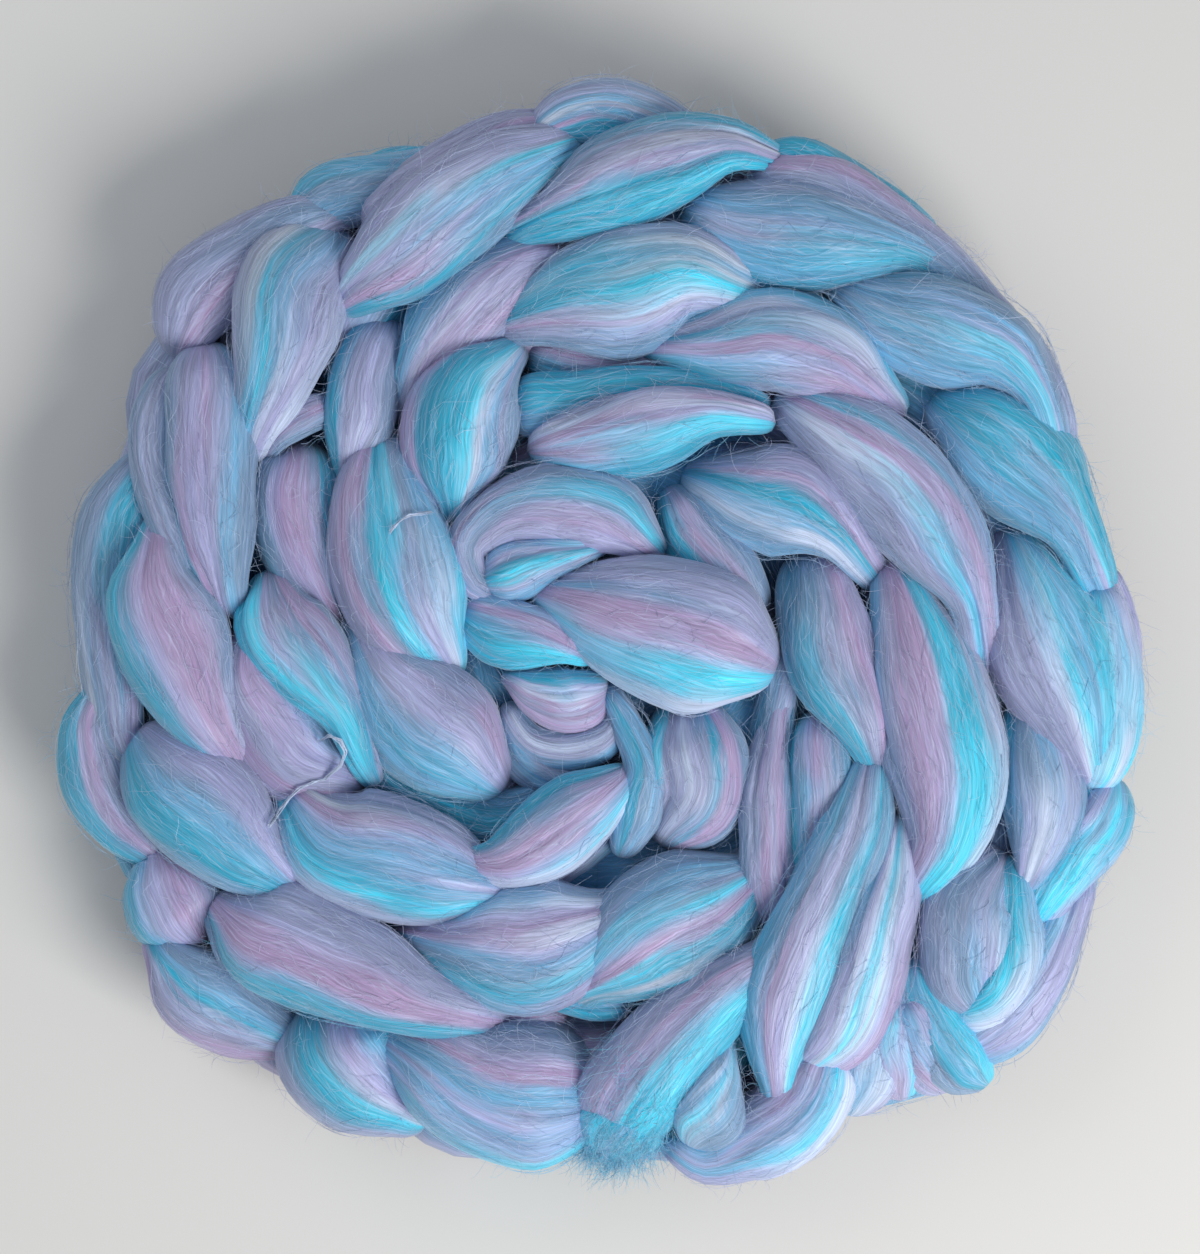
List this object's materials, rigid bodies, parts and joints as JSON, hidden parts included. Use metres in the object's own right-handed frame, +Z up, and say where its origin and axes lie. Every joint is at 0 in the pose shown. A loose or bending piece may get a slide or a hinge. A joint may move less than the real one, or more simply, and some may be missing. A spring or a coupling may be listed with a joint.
{
  "type": "braid of wool roving",
  "caption": "Length of combed wool top worked into a thick chain-like braid and coiled into a flat round disc, with a short frayed end at the rim.",
  "frame": {"origin": "on the surface that the coil rests on, at the middle of its bounding box", "axes": "+Z up out of the coil's face, +Y from the loose end's side of the coil to the far side, +X to the right seen from above"},
  "size_m": [0.3016, 0.3062, 0.0583],
  "materials": {
    "roving": "soft lengthwise sheen"
  },
  "bodies": {
    "root": {"braid": "roving"}
  },
  "joints": []
}
